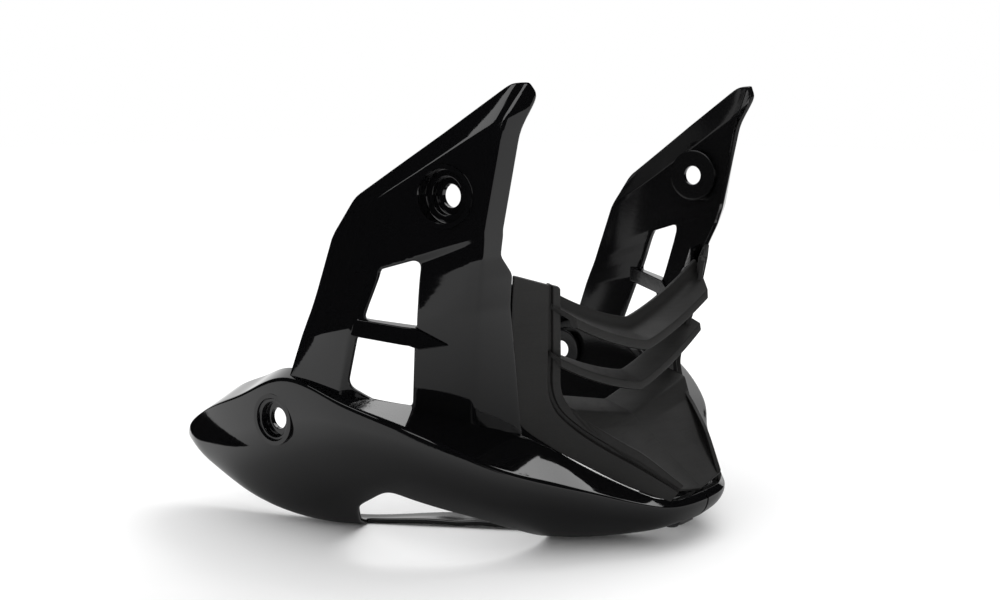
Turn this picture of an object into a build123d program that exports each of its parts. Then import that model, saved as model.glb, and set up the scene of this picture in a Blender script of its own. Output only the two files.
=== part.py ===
from build123d import *
import math
import os

# Belly pan of a small motorcycle: two mirrored side panels, a louvred centre panel and their fasteners.
# Millimetres, +X forward, +Y to the rider's left, +Z up, Y = 0 on the plane of symmetry, Z = 0 on the floor.
# Every shape is drawn for the left-hand side; the right-hand panel is its mirror image.

# Overall length and width: the points below are drawn for the first pair and stretch to the second pair.
drawn_length, drawn_width = 299.6, 297.7
pan_length, pan_width = 299.6, 297.7
stretch_x, stretch_y = pan_length / drawn_length, pan_width / drawn_width

# Walls and gaps
side_wall = 3.0
centre_wall = 2.6
seam_gap = 0.8
split_gap = 1.0

# Bolt holes that carry the part: bore, seat and outer recess, and the Y of the face that the bolt pulls on
bolt_bore = 12.0
bolt_seat = 20.0
recess_step = 3.5
boss_wall = 2.5
seat_thickness = 3.0
upper_bolt, upper_recess = (71.5 * stretch_x, 125.0 * stretch_y, 198.3), 28.0
rear_bolt, rear_recess = (-43.0 * stretch_x, 141.0 * stretch_y, 68.5), 24.5
upper_face, rear_face = (7.6, 11.5), (5.0, 0.0)

# Upper wing of a side panel, as sections from its foot to its top edge. Each section lies in a plane that
# slopes along X: its height at X = 0 and its slope, then plan points (X, Y) of the rear edge, the crown, the
# crest of the scoop's rear wall, the foot of that wall, the fold of the tip, the front crease and the edge.
wing_sections = (
    (82.7, -0.22, ((-33, 143.5), (-16, 142.5), (2, 140), (10, 134), (54.2, 105.5), (62, 100.5),
                   (75.5, 83.5))),
    (122.3, 0.19, ((-22.6, 141.5), (2, 144), (17, 144), (24.5, 139.5), (72.7, 119.4), (81.2, 115.8),
                   (91, 100))),
    (132.0, 0.27, ((-18.6, 141), (5, 143.5), (22.5, 143.5), (30, 138.3), (78.5, 123.1), (87, 120.4),
                   (95.2, 104))),
    (136.6, 0.33, ((-16.6, 140.8), (6.5, 143.3), (25.2, 142.7), (32.7, 137.4), (81.9, 125.6), (90.6, 123.5),
                   (95.3, 114))),
    (141.4, 0.38, ((-14.6, 140.5), (8, 143.2), (28, 142), (35.5, 136.5), (84.6, 127.4), (93.3, 125.8),
                   (98, 115.5))),
    (147.8, 0.347, ((-11.6, 140), (8, 142.8), (29, 141), (36.5, 139.5), (85.4, 128.5), (94, 126.6),
                    (98.4, 116))),
    (173.0, 0.55, ((-0.9, 139.2), (18.2, 141.5), (42.6, 138.5), (56.5, 135.5), (96.7, 126.6), (103.5, 124.6),
                   (109.2, 116))),
    (175.8, 0.604, ((1.5, 139), (20, 141.3), (45, 138), (60, 134.8), (98.7, 126.3), (105.2, 124.2),
                    (118.7, 116))),
    (185.6, 0.657, ((16.1, 138), (26, 136), (50, 131), (68, 127), (110.6, 119.5), (121.4, 114.2),
                    (124, 110))),
)
tip_height = 255.6
tip_corner, tip_slope = (116.0 * stretch_x, 255.6), 62.0

# Lower lobe and belly of a side panel, as upright sections from the rear tip to the nose. Each has the crest
# (X, Y, Z), the heading of its outward direction in degrees from +X, the run and rise of the shelf behind the
# crest, how far in the bottom edge lies and its height.
lobe_sections = (
    ((-144, 122, 42), 128, 7, 1.5, 8, 34),
    ((-134, 129, 50.5), 108, 15, 3, 13, 28),
    ((-115, 134.5, 61.5), 98, 20, 4, 18, 20),
    ((-75, 142, 77.5), 94, 20, 4, 27, 7),
    ((-33, 146, 94), 90, 10, 1, 46, 0),
    ((13, 145, 84.5), 86, 13, 3, 79, 0),
    ((57, 134, 72), 66, 25, 8.5, 81, 0),
    ((91, 110, 53.5), 45, 28, 17, 74, 1),
    ((109, 82, 42), 38, 21, 16.6, 58, 0),
    ((123, 65, 36), 37, 16, 10, 48, 0),
    ((135, 48, 29.5), 36, 11, 6, 38, 2),
    ((149, 32, 25), 32, 3, 2.8, 27, 6.5),
    ((154, 17, 24.5), 18, 2.6, 3.6, 18, 10),
    ((155.3, split_gap / 2, 24.5), 0, 2.6, 4, 16, 10),
)
lobe_flange = 8.0
lobe_swell = 0.12
lobe_shoulder = 0.42
lobe_turn = 0.35

# Windows, bar and slot of a side panel, as side views (X, Z)
upper_window = ((34.2, 158.8), (57.6, 165.8), (49.6, 127.8), (23.4, 131.4))
lower_window = ((19, 122), (46.5, 118.2), (38.4, 83), (29.5, 78), (9.1, 93.2))
window_corner = 3.0
bar_side = ((14, 132.5), (49.6, 127.8), (63.5, 118.4), (51, 116.2), (46.5, 118.2), (14, 122.8))
bar_plan = ((14, 143.6), (19, 143.6), (44, 133), (64, 119), (62, 114), (26, 134), (14, 139))
slot_edge = ((-6, -5), (-3, 4), (2, 13), (5.5, 21), (10, 26.5), (17, 32.5), (24, 36.5), (31, 38), (40, 35.8),
             (64, 29.6), (86, 23), (103, 13), (113, 4), (116, -5))
slot_plane_y, slot_heading = 130.0, 66.0
rail_line = ((-60, 116), (120, 15.8))

# Centre panel band along the seam: the seam point, the rim point ahead of it, from the top to the nose
band_sections = (
    ((95.2, 104, 156.5), (104.8, 85, 150.3)),
    ((91, 100, 139), (102.4, 82, 131.5)),
    ((86, 94, 115.5), (98.6, 76.8, 110.8)),
    ((81.4, 88, 91), (95, 71.3, 89)),
    ((80.6, 82.5, 73.5), (97, 67.8, 78.8)),
    ((92.5, 69, 58.4), (104.5, 60.2, 68)),
    ((110.5, 54.3, 45.3), (117, 51, 57.5)),
    ((126.5, 41.2, 34.8), (131.5, 39.5, 47)),
    ((147.4, 28.9, 26.9), (150.4, 24.5, 32.5)),
)
band_stations = 17
channel_run, channel_drop, channel_share = 8.0, 1.0, 0.6

# Louvres of the centre panel: blade profiles (X, Z) on the middle plane, and how they sweep to each side
upper_blade = ((100.4, 123.2), (102.4, 115.2), (114.1, 110.6), (114.9, 105.4), (112.3, 105.0),
               (111.8, 108.4), (99.9, 113.4), (97.8, 122.8))
lower_blade = ((96, 92), (109.8, 86.1), (110.6, 81.5), (108.0, 81.1), (107.5, 84.2), (95.2, 89.6))
upper_blade_rim, lower_blade_rim = band_sections[1][1], band_sections[2][1]
blade_stop = 1.6
blade_rise, blade_bend = 0.333, 0.42
blade_stations = 4
upper_blade_sweep, lower_blade_sweep = -0.02, -0.055
blade_chamfer = ((114, 70), (106, 78))

# Chin plate between the bands, and the scoop wall behind it: stations with X, the half width, the height at
# the edge and the height on the middle plane
chin_sections = ((104.5, 60, 79, 66.5), (112, 54, 68, 60.5), (132, 37.5, 49.5, 44.5),
                 (151, 22.5, 34.2, 29.6))
scoop_section = (96.0, 60, 90, 78)
sheet_drop = (-1.6, 0, -2.05)

# Fasteners: seam screws through a joggled flange into bosses behind the cheek, and a joiner under the nose.
# The flange section is (along the cheek, out of it); screws stand at distances up the seam.
cheek_foot, cheek_head = band_sections[3], band_sections[1]
screw_foot, screw_top, screw_inset = 13.0, 7.0, 7.5
screw_shank, screw_head, screw_head_height = 4.0, 8.0, 2.6
screw_boss, screw_boss_height, screw_in = 9.0, 5.0, 6.0
screw_clearance = 0.15
flange_length, flange_width, flange_thickness = 53.0, 15.0, 2.5
flange_front = -centre_wall - screw_boss_height
flange_back = flange_front - flange_thickness
flange_section = ((-6, -2), (-1, flange_front), (flange_width, flange_front), (flange_width, flange_back),
                  (-2.5, flange_back), (-9, -3))
joiner_size = (14.0, 16.0, 2.2)
joiner_centre = (135.0 * stretch_x, 0.0, 10.0)
joiner_screw_y = 5.5

# Longer than any wall, for cuts that go right through
through = 200.0


def drawn(x, y, z):
    """A point of the tables, stretched to the overall length and width."""
    return Vector(x * stretch_x, y * stretch_y, z)


def offset_right(points, wall):
    """The plan polyline moved to the right of its direction by the wall, with mitred corners."""
    headings = []
    for (x0, y0), (x1, y1) in zip(points, points[1:]):
        length = math.hypot(x1 - x0, y1 - y0)
        headings.append(((y1 - y0) / length, -(x1 - x0) / length))
    moved = []
    for i, (x, y) in enumerate(points):
        ax, ay = headings[max(i - 1, 0)]
        bx, by = headings[min(i, len(headings) - 1)]
        scale = wall / (1 + ax * bx + ay * by)
        moved.append((x + (ax + bx) * scale, y + (ay + by) * scale))
    return moved


def wing_face(base, slope, points):
    """One closed section of the wing's wall, lifted to its sloping plane."""
    plan = [(x * stretch_x, y * stretch_y) for x, y in points]
    outer = [(x, y, base + slope / stretch_x * x) for x, y in plan]
    inner = [(x, y, base + slope / stretch_x * x) for x, y in offset_right(plan, side_wall)]
    edges = [Spline(*outer[:3])]
    edges += [Line(a, b) for a, b in zip(outer[2:], outer[3:])]
    edges.append(Line(outer[-1], inner[-1]))
    edges += [Line(b, a) for a, b in reversed(list(zip(inner[2:], inner[3:])))]
    edges.append(Spline(*reversed(inner[:3])))
    edges.append(Line(inner[0], outer[0]))
    return Face(Wire(edges))


def lobe_face(crest, heading, shelf_run, shelf_rise, inset, bottom):
    """One closed upright section of the shelf, lobe and bottom flange."""
    turn = math.radians(heading)
    outward, forward = (math.cos(turn), math.sin(turn), 0), (math.sin(turn), -math.cos(turn), 0)
    plane = Plane(drawn(*crest), x_dir=outward, z_dir=forward)
    drop = crest[2] - bottom
    wall = side_wall
    outer = [(-shelf_run, shelf_rise), (0, 0), (lobe_swell * drop, -lobe_shoulder * drop)]
    outer += [(-lobe_turn * inset, -drop), (-inset, -drop), (-inset - lobe_flange, -drop)]
    inner = [(-shelf_run - wall / 2, shelf_rise - wall), (-wall, -wall)]
    inner += [(lobe_swell * drop - wall, -lobe_shoulder * drop)]
    inner += [(-lobe_turn * inset - wall / 2, wall - drop), (-inset, wall - drop)]
    inner += [(-inset - lobe_flange, wall - drop)]
    out = [plane.from_local_coords((x, y, 0)) for x, y in outer]
    back = [plane.from_local_coords((x, y, 0)) for x, y in inner]
    edges = [Line(out[0], out[1]), Bezier(*out[1:5]), Line(out[4], out[5]), Line(out[5], back[5])]
    edges += [Line(back[5], back[4]), Bezier(*reversed(back[1:5])), Line(back[1], back[0])]
    edges.append(Line(back[0], out[0]))
    return Face(Wire(edges))


def side_prism(points, corner=0.0):
    """A side view (X, Z) pulled across the whole left-hand side, with rounded corners."""
    face = Face(Polyline(*[drawn(x, 0, z) for x, z in points], close=True))
    if corner:
        face = fillet(face.vertices(), corner).face()
    return Solid.extrude(face, Vector(0, through, 0))


def across(centre, radius, length):
    """A round bar along +Y that starts at its centre point."""
    return Plane(centre, x_dir=(1, 0, 0), z_dir=(0, 1, 0)) * Cylinder(
        radius, length, align=(Align.CENTER, Align.CENTER, Align.MIN))


def bolt_boss(seat, recess, reach, lean):
    """The cup round a bolt hole, ended below the panel's outer face, which leans forward by an angle."""
    x, y, z = seat
    cup = across((x, y - seat_thickness, z), recess / 2 + boss_wall, through)
    turn = math.radians(lean)
    lid = Plane((x, y + reach, z), z_dir=(math.sin(turn), math.cos(turn), 0))
    return split(cup, lid, keep=Keep.BOTTOM)


def bolt_cut(seat, recess):
    """The stepped recess and bore of a bolt hole."""
    x, y, z = seat
    cut = across((x, y - through / 2, z), bolt_bore / 2, through)
    cut += across((x, y, z), bolt_seat / 2, through)
    return cut + across((x, y + recess_step, z), recess / 2, through)


def seam_frame():
    """The plane of the cheek: X runs up the seam, Y from the seam towards the rim and Z outward."""
    low_seam, low_rim = (drawn(*point) for point in cheek_foot)
    top_seam, top_rim = (drawn(*point) for point in cheek_head)
    along = low_rim + top_rim - low_seam - top_seam
    lean = top_seam - low_seam
    return Plane(low_seam, x_dir=lean, z_dir=lean.cross(along))


def fastening_flange():
    """The joggled flange that lies behind the cheek of the centre panel and takes the screws."""
    frame = seam_frame()
    section = Plane(frame.origin, x_dir=frame.y_dir, z_dir=frame.x_dir)
    face = section * make_face(Polyline(*flange_section, close=True))
    return Solid.extrude(face.face(), frame.x_dir * flange_length)


def screw_seats():
    """Where the heads of the seam screws bear on the flange, with their axes pointing outward."""
    frame = seam_frame()
    places = (screw_foot, flange_length - screw_top)
    return [frame * Pos(place, screw_inset, flange_back) for place in places]


def bar_up(diameter, length):
    """A round bar that stands on its seat."""
    return Cylinder(diameter / 2, length, align=(Align.CENTER, Align.CENTER, Align.MIN))


def screw():
    """A pan-head screw with the underside of its head at the origin."""
    return Pos(0, 0, -screw_head_height) * bar_up(screw_head, screw_head_height) + bar_up(
        screw_shank, flange_thickness + screw_in)


def bottom_slot():
    """The opening under the lobe, cut along the direction in which the belly turns under."""
    turn = math.radians(slot_heading)
    away = Vector(math.cos(turn), math.sin(turn), 0)
    face = Face(Polyline(*[drawn(x, slot_plane_y, z) for x, z in slot_edge], close=True))
    cut = Solid.extrude(face.moved(Location(away * through / 2)), away * -through)
    start, end = (drawn(x, y, 0) for x, y in rail_line)
    fence = Plane(start, z_dir=(end - start).cross(Vector(0, 0, 1)))
    return split(cut, fence, keep=Keep.BOTTOM)


def side_panel():
    wing = loft([wing_face(*section) for section in wing_sections], ruled=True)
    turn = math.radians(tip_slope)
    tip = Plane((tip_corner[0], 0, tip_corner[1]), z_dir=(math.sin(turn), 0, math.cos(turn)))
    wing = split(wing, Plane((0, 0, tip_height)), keep=Keep.BOTTOM)
    wing = split(wing, tip, keep=Keep.BOTTOM)
    wing -= side_prism(upper_window, window_corner)
    wing -= side_prism(lower_window, window_corner)
    plan = Face(Polyline(*[drawn(x, y, 0) for x, y in bar_plan], close=True))
    bar = extrude(plan, through) & side_prism(bar_side)
    lobe = loft([lobe_face(*section) for section in lobe_sections])
    panel = wing + bar + (lobe - bottom_slot())
    panel += fastening_flange()
    panel += bolt_boss(upper_bolt, upper_recess, *upper_face)
    panel += bolt_boss(rear_bolt, rear_recess, *rear_face)
    panel -= bolt_cut(upper_bolt, upper_recess)
    panel -= bolt_cut(rear_bolt, rear_recess)
    for seat in screw_seats() + joiner_seats()[:1]:
        panel -= seat * bar_up(screw_shank + 2 * screw_clearance, flange_thickness + screw_in)
    return panel


def band():
    """The border of the centre panel, from the top of the cheek down to the nose."""
    seam_line = Spline(*[drawn(*seam) for seam, rim in band_sections])
    rim_line = Spline(*[drawn(*rim) for seam, rim in band_sections])
    faces = []
    for i in range(band_stations):
        share = i / (band_stations - 1)
        seam, rim = seam_line @ share, rim_line @ share
        along = (rim - seam).normalized()
        out = along.cross(seam_line % share + rim_line % share).normalized()
        scale = min(1, channel_share * (rim - seam).length / channel_run)
        ridge = rim + along * channel_run * scale - out * channel_drop * scale
        outer = [seam + along * seam_gap, rim, ridge]
        inner = [p - out * centre_wall for p in reversed(outer)]
        faces.append(Face(Polyline(*outer, *inner, close=True)))
    return loft(faces, ruled=True)


def sheet(sections):
    """A thin plate through rows that run from the middle plane to an edge."""
    drop = Vector(*sheet_drop)
    faces = []
    for x, half, edge, middle in sections:
        inner, outer = drawn(x, 0, middle), drawn(x, half, edge)
        faces.append(Face(Polyline(inner, outer, outer + drop, inner + drop, close=True)))
    return loft(faces, ruled=True)


def blade(profile, sweep, rim):
    """Half of a louvre: its profile on the middle plane, swept in a curve out, back and up to the rim."""
    reach = drawn(*rim).Y - blade_stop
    faces = []
    for i in range(blade_stations):
        share = i / (blade_stations - 1)
        rise = blade_rise * reach * share * (1 - blade_bend + blade_bend * share)
        away = Vector(sweep * reach * share, reach * share, rise)
        faces.append(Face(Polyline(*[drawn(x, 0, z) + away for x, z in profile], close=True)))
    start, end = (drawn(x, y, 0) for x, y in blade_chamfer)
    trim = Plane(start, z_dir=(end - start).cross(Vector(0, 0, 1)))
    return split(loft(faces), trim, keep=Keep.BOTTOM)


def centre_panel():
    half = band() + sheet(chin_sections) + sheet((scoop_section, chin_sections[0]))
    half += blade(upper_blade, upper_blade_sweep, upper_blade_rim)
    half += blade(lower_blade, lower_blade_sweep, lower_blade_rim)
    for seat in screw_seats():
        foot = seat * Pos(0, 0, flange_thickness)
        half += foot * bar_up(screw_boss, screw_boss_height + centre_wall / 2)
        half -= foot * bar_up(screw_shank + 2 * screw_clearance, screw_in + screw_clearance)
    return half


def joiner_seats():
    """Where the heads of the joiner's screws bear, under the left-hand and right-hand noses."""
    x, y, z = joiner_centre
    return [Pos(x, side * joiner_screw_y, z - joiner_size[2]) for side in (1, -1)]


def nose_joiner():
    plate = Pos(*joiner_centre) * Box(*joiner_size, align=(Align.CENTER, Align.CENTER, Align.MAX))
    for seat in joiner_seats():
        plate -= seat * bar_up(screw_shank + 2 * screw_clearance, through)
    return plate


left = side_panel()
half = centre_panel()
seats = screw_seats() + joiner_seats()[:1]
left_screws = [seat * screw() for seat in seats]
pieces = {
    "left_side_panel": left,
    "right_side_panel": mirror(left, about=Plane.XZ),
    "centre_panel": half + mirror(half, about=Plane.XZ),
    "panel_screws": Compound(left_screws + [mirror(one, about=Plane.XZ) for one in left_screws]),
    "nose_joiner": nose_joiner(),
}
box = left.bounding_box()
place = Pos(-(box.min.X + box.max.X) / 2, 0, -box.min.Z)

os.makedirs("parts", exist_ok=True)
for name, piece in pieces.items():
    export_step(place * piece, f"parts/{name}.step")
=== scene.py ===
# %% [markdown]
# The part is the belly pan of a small motorcycle: two glossy side panels that meet under the nose, and a
# matte centre panel with louvres between them. The solids were drawn in CAD, so the first step loads them
# as a frame that never moves. Everything made here is in metres and sits in that frame.

import math

import bmesh
import bpy
import numpy as np
from mathutils import Matrix, Vector
from mathutils.bvhtree import BVHTree
from mathutils.geometry import barycentric_transform, delaunay_2d_cdt


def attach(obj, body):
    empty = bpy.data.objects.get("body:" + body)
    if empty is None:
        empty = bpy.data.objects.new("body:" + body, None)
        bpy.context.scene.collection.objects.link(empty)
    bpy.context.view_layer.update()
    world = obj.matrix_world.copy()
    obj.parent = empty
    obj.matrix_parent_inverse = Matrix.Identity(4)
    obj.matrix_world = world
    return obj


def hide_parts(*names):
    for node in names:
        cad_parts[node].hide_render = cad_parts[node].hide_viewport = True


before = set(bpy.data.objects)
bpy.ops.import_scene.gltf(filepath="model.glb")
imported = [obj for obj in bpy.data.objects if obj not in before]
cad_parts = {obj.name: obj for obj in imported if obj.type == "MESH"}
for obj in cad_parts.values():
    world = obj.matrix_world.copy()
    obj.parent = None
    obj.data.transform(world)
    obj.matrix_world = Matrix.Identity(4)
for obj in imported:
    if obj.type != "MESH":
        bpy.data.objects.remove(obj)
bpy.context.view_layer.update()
scene = bpy.context.scene

# %% [markdown]
# The side panels are thin mouldings with broad, calm faces, crisp folds and rounded edges, and black gloss
# shows every flaw in them. Bevelling the CAD facets would leave creases in the reflections, so each panel is
# built again as a skin: rows of points are joined into a grid, and the grid is read through a small blur
# that rounds its folds. Lengths are in millimetres of the drawing until an object is made from them. As a
# trial, a square fold is read at its corner, to see how far the blur draws it in.

# %% Skins
blur_steps, blur_weights = (-1.0, -0.5, 0.0, 0.5, 1.0), (1, 4, 6, 4, 1)


class Skin:
    """A surface through rows of points, read at (across, along) in millimetres, with softened folds."""

    def __init__(self, grid, across, along, soften):
        self.grid, self.across, self.along = np.asarray(grid, float), np.asarray(across), np.asarray(along)
        self.soften = soften

    def sharp(self, a, b):
        """Points of the grid itself, with straight lines between its rows and columns."""
        i = np.clip(np.searchsorted(self.across, a, side="right") - 1, 0, len(self.across) - 2)
        j = np.clip(np.searchsorted(self.along, b, side="right") - 1, 0, len(self.along) - 2)
        s = ((a - self.across[i]) / (self.across[i + 1] - self.across[i]))[:, None]
        t = ((b - self.along[j]) / (self.along[j + 1] - self.along[j]))[:, None]
        low = self.grid[j, i] * (1 - s) + self.grid[j, i + 1] * s
        high = self.grid[j + 1, i] * (1 - s) + self.grid[j + 1, i + 1] * s
        return low * (1 - t) + high * t

    def at(self, points):
        """Points of the softened surface: a weighted mean of the grid around each place."""
        points = np.asarray(points, float).reshape(-1, 2)
        soften = self.soften(points) if callable(self.soften) else self.soften
        total, weight = 0, 0
        for da, wa in zip(blur_steps, blur_weights):
            for db, wb in zip(blur_steps, blur_weights):
                total = total + wa * wb * self.sharp(points[:, 0] + da * soften, points[:, 1] + db * soften)
                weight += wa * wb
        return total / weight


square_fold = Skin([[(0, 0, 0), (10, 0, 0), (10, 10, 0)]] * 2, (0, 10, 20), (0, 10), 2.0)
drawn_in = np.linalg.norm(square_fold.at((10, 5))[0] - (10, 0, 0))
print("a square fold softened by 2 mm is drawn in by", round(drawn_in, 2), "mm")

# %% [markdown]
# The wing is the upright half of a side panel. It is flat plates folded along straight lines, which is how a
# mould for it is cut. It could be cut and folded from a box, but a few sections say the same in fewer steps:
# each is a row of points in one sloping plane, the folds run from row to row, and the rearmost plate is
# bowed. The front edge follows the seam of the centre panel, and the inner rows are moved in by the wall.

# %% Sections of the wing
side_wall, bow_columns = 3.0, 10
# Each section has its height at X 0, its slope along X, and its plan points (X, Y) from rear to front.
wing_sections = (
    (82.7, -0.22, ((-33, 143.5), (-16, 142.5), (2, 140), (10, 134), (54.2, 105.5), (64, 99), (82, 78))),
    (122.3, 0.19, ((-22.6, 141.5), (2, 144), (17, 144), (24.5, 139.5), (72.7, 119.4), (81.2, 115.8),
                   (91, 100))),
    (132.0, 0.27, ((-18.6, 141), (5, 143.5), (22.5, 143.5), (30, 138.3), (78.5, 123.1), (87, 120.4),
                   (95.2, 104))),
    (136.6, 0.33, ((-16.6, 140.8), (6.5, 143.3), (25.2, 142.7), (32.7, 137.4), (81.9, 125.6), (90.6, 123.5),
                   (95.3, 114))),
    (141.4, 0.38, ((-14.6, 140.5), (8, 143.2), (28, 142), (35.5, 136.5), (84.6, 127.4), (93.3, 125.8),
                   (98, 115.5))),
    (147.8, 0.347, ((-11.6, 140), (8, 142.8), (29, 141), (36.5, 139.5), (85.4, 128.5), (94, 126.6),
                    (98.4, 116))),
    (173.0, 0.55, ((-0.9, 139.2), (18.2, 141.5), (42.6, 138.5), (56.5, 135.5), (96.7, 126.6), (103.5, 124.6),
                   (109.2, 116))),
    (175.8, 0.604, ((1.5, 139), (20, 141.3), (45, 138), (60, 134.8), (98.7, 126.3), (105.2, 124.2),
                    (118.7, 116))),
    (185.6, 0.657, ((16.1, 138), (26, 136), (50, 131), (68, 127), (110.6, 119.5), (121.4, 114.2),
                    (124, 110))))


def lengths(points):
    """Distances along a row of points, from its start."""
    return np.concatenate(([0], np.cumsum(np.linalg.norm(np.diff(points, axis=0), axis=1))))


def offset_right(points, wall):
    """A plan line moved to the right of its direction by the wall, with mitred corners."""
    ahead = np.diff(points, axis=0)
    ahead = ahead / np.linalg.norm(ahead, axis=1)[:, None]
    right = np.stack((ahead[:, 1], -ahead[:, 0]), axis=1)
    before, after = np.concatenate((right[:1], right)), np.concatenate((right, right[-1:]))
    return points + (before + after) * wall / (1 + (before * after).sum(axis=1))[:, None]


def bowed(points):
    """A row whose first three points lie on one curve."""
    first, second, third = points[:3]
    knot = np.linalg.norm(second - first)
    whole = knot + np.linalg.norm(third - second)
    t = np.linspace(0, whole, bow_columns)[:, None]
    curve = (first * (t - knot) * (t - whole) / (knot * whole)
             + second * t * (t - whole) / (knot * (knot - whole))
             + third * t * (t - knot) / (whole * (whole - knot)))
    return np.concatenate((curve, points[3:]))


outer_rows, inner_rows = [], []
for base, slope, plan in wing_sections:
    plan = np.array(plan, float)
    for rows, line in ((outer_rows, plan), (inner_rows, offset_right(plan, side_wall))):
        line = bowed(line)
        rows.append(np.column_stack((line, base + slope * line[:, 0])))
outer_rows, inner_rows = np.array(outer_rows), np.array(inner_rows)
wing_across = np.mean([lengths(row) for row in outer_rows], axis=0)
wing_along = np.mean([lengths(column) for column in outer_rows.swapaxes(0, 1)], axis=0)
wing_width, wing_height = wing_across[-1], wing_along[-1]
print("wing rows", outer_rows.shape, "span", round(wing_width, 1), "by", round(wing_height, 1), "mm")

# %% [markdown]
# The folds of the real wing are crisp in its middle and melt together in its prong. One bevel width could not
# do both, so the blur of the skin grows towards the tip, and the change is eased at both ends.

# %% Skin of the wing
fold_soften, tip_soften = 1.7, 5.5
# Where the folds begin to round and over how far, as shares of the wing's height and width.
round_up, round_forward = (0.62, 0.2), (0.6, 0.25)


def ramp(values, start, run):
    """0 before a start, 1 once a run beyond it, and a straight rise between."""
    return np.clip((values - start) / run, 0, 1)


def wing_soften(points):
    """How far the blur reaches at places on the wing."""
    share = ramp(points[:, 1] / wing_height, *round_up) * ramp(points[:, 0] / wing_width, *round_forward)
    return fold_soften + (tip_soften - fold_soften) * share * share * (3 - 2 * share)


wing_outer = Skin(outer_rows, wing_across, wing_along, wing_soften)
wing_inner = Skin(inner_rows, wing_across, wing_along, wing_soften)
print("blur at the foot and at the tip", wing_soften(np.array(((0, 0), (wing_width, wing_height)))), "mm")

# %% [markdown]
# Outlines, windows and lips are drawn as corners with a radius each, as on a workshop drawing. A bevel on the
# finished mesh could round them too, but it fails where triangles are small, so the loop itself is rounded
# before anything is filled. It is also divided at an even step, to bend with the skin that it lies on.

# %% Rounded loops
tiny, corner_room, least_cut = 1e-9, 0.45, 0.05


def arc(start, corner, end, t):
    """A point on the curve that leaves a start towards a corner and bends to an end."""
    return (1 - t) ** 2 * start + 2 * t * (1 - t) * corner + t**2 * end


def rounded(corners, radii, step):
    """A closed loop through corners that are each rounded by a radius, divided at about a step."""
    corners = np.asarray(corners, float)
    loop = []
    for i, corner in enumerate(corners):
        back, ahead = corners[i - 1] - corner, corners[(i + 1) % len(corners)] - corner
        room = corner_room * min(np.linalg.norm(back), np.linalg.norm(ahead))
        back, ahead = back / np.linalg.norm(back), ahead / np.linalg.norm(ahead)
        half = 0.5 * math.acos(np.clip(back @ ahead, -1, 1))
        cut = min(radii[i] / max(math.tan(half), tiny), room)
        if cut < least_cut:
            loop.append(corner)
            continue
        steps = max(2, int(cut * (math.pi - 2 * half) / (0.5 * step)))
        for t in np.linspace(0, 1, steps + 1):
            loop.append(arc(corner + back * cut, corner, corner + ahead * cut, t))
    divided = []
    for start, end in zip(loop, loop[1:] + loop[:1]):
        count = max(1, int(np.linalg.norm(end - start) / step))
        divided += [start + (end - start) * k / count for k in range(count)]
    return np.array(divided)


trial_loop = rounded(((0, 0), (10, 0), (10, 10), (0, 10)), (2, 2, 2, 2), 1)
print("a trial loop, a rounded square of 10 mm, has", len(trial_loop), "points")

# %% [markdown]
# The wing ends in a prong that is cut off level and then sloping. The corners of the cut could be typed in,
# but they would be wrong after any change of the skin, so they are found on it by halving an interval until
# the point lies on the cut. Last, the outline is faired round the tip, where the real one has no corner.

# %% Outline of the wing
tip_corner, tip_slope = (116.0, 255.6), math.radians(62.0)
cut_points, search_beyond, halvings = 5, 20.0, 40
search_end = wing_height + search_beyond
wing_radii = (0, 0, 2.5, 1, 1, 1, 2.5, 1, 1, 1, 3.0, 4.5)
tip_margin, tip_passes, wing_step = 8.0, 24, 1.2


def solve(value, low, high):
    """The place between two others where a rising value is zero."""
    for _ in range(halvings):
        middle = (low + high) / 2
        low, high = (middle, high) if value(middle) < 0 else (low, middle)
    return (low + high) / 2


def wing_point(a, b):
    return wing_outer.at((a, b))[0]


def level_place(a):
    """How far up the skin the level cut lies."""
    return solve(lambda b: wing_point(a, b)[2] - tip_corner[1], 0.5 * wing_height, search_end)


def slope_place(a):
    """How far up the skin the sloping cut lies."""
    cut = np.array((math.sin(tip_slope), 0, math.cos(tip_slope)))
    corner = np.array((tip_corner[0], 0, tip_corner[1]))
    return solve(lambda b: (wing_point(a, b) - corner) @ cut, 0.5 * wing_height, search_end)


tip_back = solve(lambda a: wing_point(a, wing_height)[2] - tip_corner[1], 0.5 * wing_width, wing_width)
tip_front = solve(lambda a: wing_point(a, level_place(a))[0] - tip_corner[0], tip_back,
                  wing_width + search_beyond / 2)
level_cut = [(a, level_place(a)) for a in np.linspace(tip_front, tip_back, cut_points)]
slope_cut = [(a, slope_place(a)) for a in np.linspace(wing_width, tip_front, cut_points)][:-1]
wing_corners = [(0, 0), (wing_width, 0), *slope_cut, *level_cut, (0, wing_height)]
wing_outline = rounded(wing_corners, wing_radii, wing_step)
by_tip = (wing_outline[:, 0] > tip_back - tip_margin) & (wing_outline[:, 1] > slope_cut[0][1] - tip_margin)
for _ in range(tip_passes):
    faired = (np.roll(wing_outline, 1, axis=0) + 2 * wing_outline + np.roll(wing_outline, -1, axis=0)) / 4
    wing_outline[by_tip] = faired[by_tip]
print("wing outline of", len(wing_outline), "points,", int(by_tip.sum()), "of them round the tip")

# %% [markdown]
# Two windows let air through the wing, and a round recess takes a bolt. They could be cut out with a
# boolean, but that leaves long slivers in a glossy face. So they are drawn in side view, where their true
# form shows, and each point is dropped onto the skin along a ray, ready to be left out of the fill.

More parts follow.
